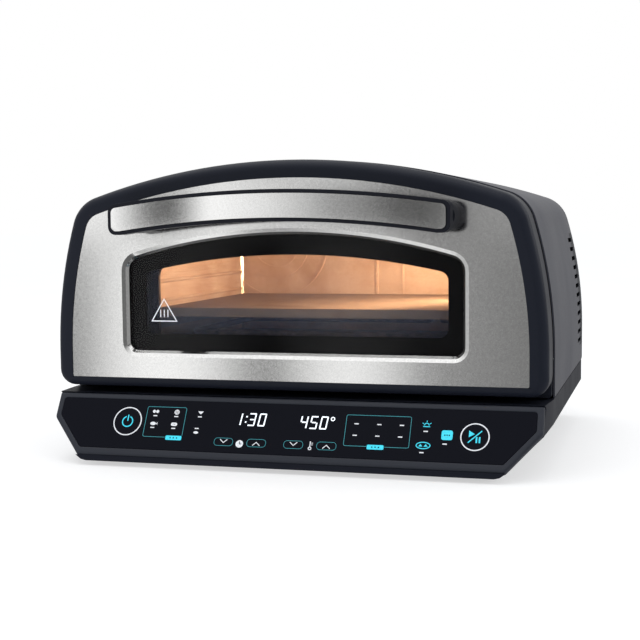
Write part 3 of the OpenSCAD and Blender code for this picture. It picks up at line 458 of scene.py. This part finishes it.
FINISHES = {
    "housing_paint": painted("housing_paint", (0.056, 0.058, 0.074), 0.40, metal=0.2, shine=0.35),
    "dark_trim": moulded("dark_trim", NAVY, 0.36, shine=0.14),
    "back_paint": painted("back_paint", (0.015, 0.017, 0.024), 0.46, shine=0.2),
    "screw_steel": plated("screw_steel", (0.55, 0.55, 0.56), 0.30),
    "base_plastic": moulded("base_plastic", (0.0095, 0.0110, 0.0175), 0.42, shine=0.08),
    "zinc_plate": plated("zinc_plate"),
    "foot_rubber": rubber("foot_rubber", (0.02, 0.02, 0.021)),
    "black_plastic": moulded("black_plastic", (0.012, 0.012, 0.014), 0.5),
    "panel_trim": moulded("panel_trim", (0.024, 0.027, 0.036), 0.38, shine=0.2),
    "panel_glass": gloss_black("panel_glass", (0.0048, 0.0054, 0.0095), 0.05),
    "circuit_board": laminate("circuit_board"),
    "display_light": printed("display_light", (0.86, 0.93, 1.0), 1.0),
    "print_white": printed("print_white", (0.80, 0.82, 0.86), 0.25),
    "print_cyan": printed("print_cyan", (0.03, 0.52, 0.66), 0.7),
    "print_teal": printed("print_teal", (0.03, 0.25, 0.29), 0.45),
    "door_steel": brushed("door_steel", STEEL),
    "clear_glass": clear_glass("clear_glass"),
    "black_print": gloss_black("black_print", (0.0048, 0.0046, 0.0052), 0.04),
    "pan_enamel": enamel("pan_enamel", (0.018, 0.018, 0.021)),
    "handle_black": moulded("handle_black", (0.009, 0.010, 0.015), 0.38, shine=0.12),
    "grip_steel": brushed("grip_steel", STEEL, 0.06, 0.8),
    "gasket_fibre": woven_seal("gasket_fibre"),
    "cavity_steel": cavity_sheet("cavity_steel"),
    "corner_steel": brushed("corner_steel", (0.60, 0.51, 0.40), 0.30, 2.0),
    "floor_steel": enamel("floor_steel", (0.035, 0.035, 0.042), 0.3),
    "stone": fired_stone("stone"),
    "heater": heater_tube("heater"),
    "fan_metal": brushed("fan_metal", (0.55, 0.52, 0.48), 0.3),
    "motor_can": painted("motor_can", (0.20, 0.20, 0.21), 0.35, metal=0.5),
    "lamp_glass": lamp_glass("lamp_glass", (1.0, 0.72, 0.42), 3.0),
    "bulb_glass": lamp_glass("bulb_glass", (1.0, 0.66, 0.34), 12.0),
    "insulation_fibre": mineral_wool("insulation_fibre"),
}

# Nodes that don't look like the rest of their material slot
# the inner pane carries a faint painted reflection, a matt bluish film
OWN_FINISH = {"inner_glass": clear_glass("inner_glass", painted_reflection=0.05)}

# ---------------------------------------------------------------- the frame's own meshes

# Rounded edges, in millimetres; nodes left out keep their edges sharp.
EDGES = {
    "housing_shell": 0.4, "front_frame": 0.5, "back_cover": 0.8, "base_shell": 0.9, "control_frame": 0.5,
    "touch_glass": 0.4, "door_back_pan": 0.4, "handle_body": 0.8, "handle_legs": 0.8,
    "handle_grip": 0.35, "hinge_arms": 0.4, "hinge_blocks": 0.4, "baking_stone": 1.2, "feet": 0.6,
    "fan_guard": 0.3, "cord_gland": 0.4, "stone_rails": 0.2, "lamp_holder": 0.3, "back_screws": 0.25,
    "bottom_screws": 0.2, "handle_screws": 0.2, "liner_back": 0.4, "fan_bracket": 0.2, "door_gasket": 0.3,
}
CREASE = radians(33)
SHALLOW = {"door_panel": radians(15)}  # nodes with edges flatter than that
WELD_GAP = 0.002 * MM
FLAT_WEIGHT = 60  # how strongly large faces keep their normals


def dress(node, finish):
    """Gives a frame node its finish, smooth curves and, where EDGES says so, rounded edges."""
    obj = NODES[node]
    mesh = obj.data
    for slot in obj.material_slots:
        slot.material = finish
    if "custom_normal" in mesh.attributes:
        mesh.attributes.remove(mesh.attributes["custom_normal"])
    mesh.polygons.foreach_set("use_smooth", [True] * len(mesh.polygons))
    obj.modifiers.new("weld", "WELD").merge_threshold = WELD_GAP
    crease = SHALLOW.get(node, CREASE)
    if node in EDGES:
        rounding = obj.modifiers.new("rounding", "BEVEL")
        rounding.width, rounding.segments = EDGES[node] * MM, 2
        rounding.limit_method, rounding.angle_limit = "ANGLE", crease
    obj.modifiers.new("creases", "EDGE_SPLIT").split_angle = crease
    flats = obj.modifiers.new("flats", "WEIGHTED_NORMAL")
    flats.mode, flats.weight, flats.keep_sharp = "FACE_AREA", FLAT_WEIGHT, True


FLOOR_REACH = 30
FLOOR_GLOW = 0.55  # on top of the light that falls on it, so that it shows near white


def make_floor():
    corners = ((-1, -1), (1, -1), (1, 1), (-1, 1))
    mesh = bpy.data.meshes.new("floor")
    mesh.from_pydata([(x * FLOOR_REACH, y * FLOOR_REACH, 0) for x, y in corners], [], [(0, 1, 2, 3)])
    floor = add(bpy.data.objects.new("floor", mesh))
    f = Finish("floor", Roughness=0.9, Specular_IOR_Level=0.0, Emission_Strength=FLOOR_GLOW)
    f.set("Base Color", f.ramp(f.noise(3, 2.0), (0.3, 0.54), (0.7, 0.56)))
    f.set("Emission Color", WHITE)
    mesh.materials.append(f.material)
    floor.visible_glossy = False


WARM = (1.0, 0.65, 0.40)


def make_lights():
    """Two soft boxes over and beside the oven, and two warm lights in its cavity."""
    soft_light("top", at=(-0.3, -0.2, 1.6), target=(0, 0, 0.17), size=(1.6, 1.2), watts=7)
    soft_light("side_right", at=(1.6, 0.6, 0.9), target=(0.2, 0.05, 0.18), size=(1.0, 1.0), watts=5)

    # the lamp in the cavity's right wall, just in front of its lens
    lens_low, lens_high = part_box("lamp_lens")
    lens = (lens_low + lens_high) / 2
    at = Vector((lens_low.x - 2 * MM, lens.y, lens.z))
    soft_light("cavity_lamp", at, at + Vector((-1, -0.15, 0.30)), (0.034, 0.034), 1.25, WARM)

    # a fainter one under the cavity's ceiling, for the light it throws back
    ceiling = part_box("liner_top")[0]
    at = Vector((0.10, ceiling.y + 40 * MM, ceiling.z - 16 * MM))
    soft_light("cavity_glow", at, at + Vector((-1, 0.6, -0.3)), (0.12, 0.02), 0.5, WARM)


make_camera()
make_world()
make_floor()
make_lights()
for part in frame["record"]["subparts"]:
    dress(part["node"], OWN_FINISH.get(part["node"], FINISHES[part["material_slot"]]))
bpy.context.scene.view_settings.view_transform = "Standard"
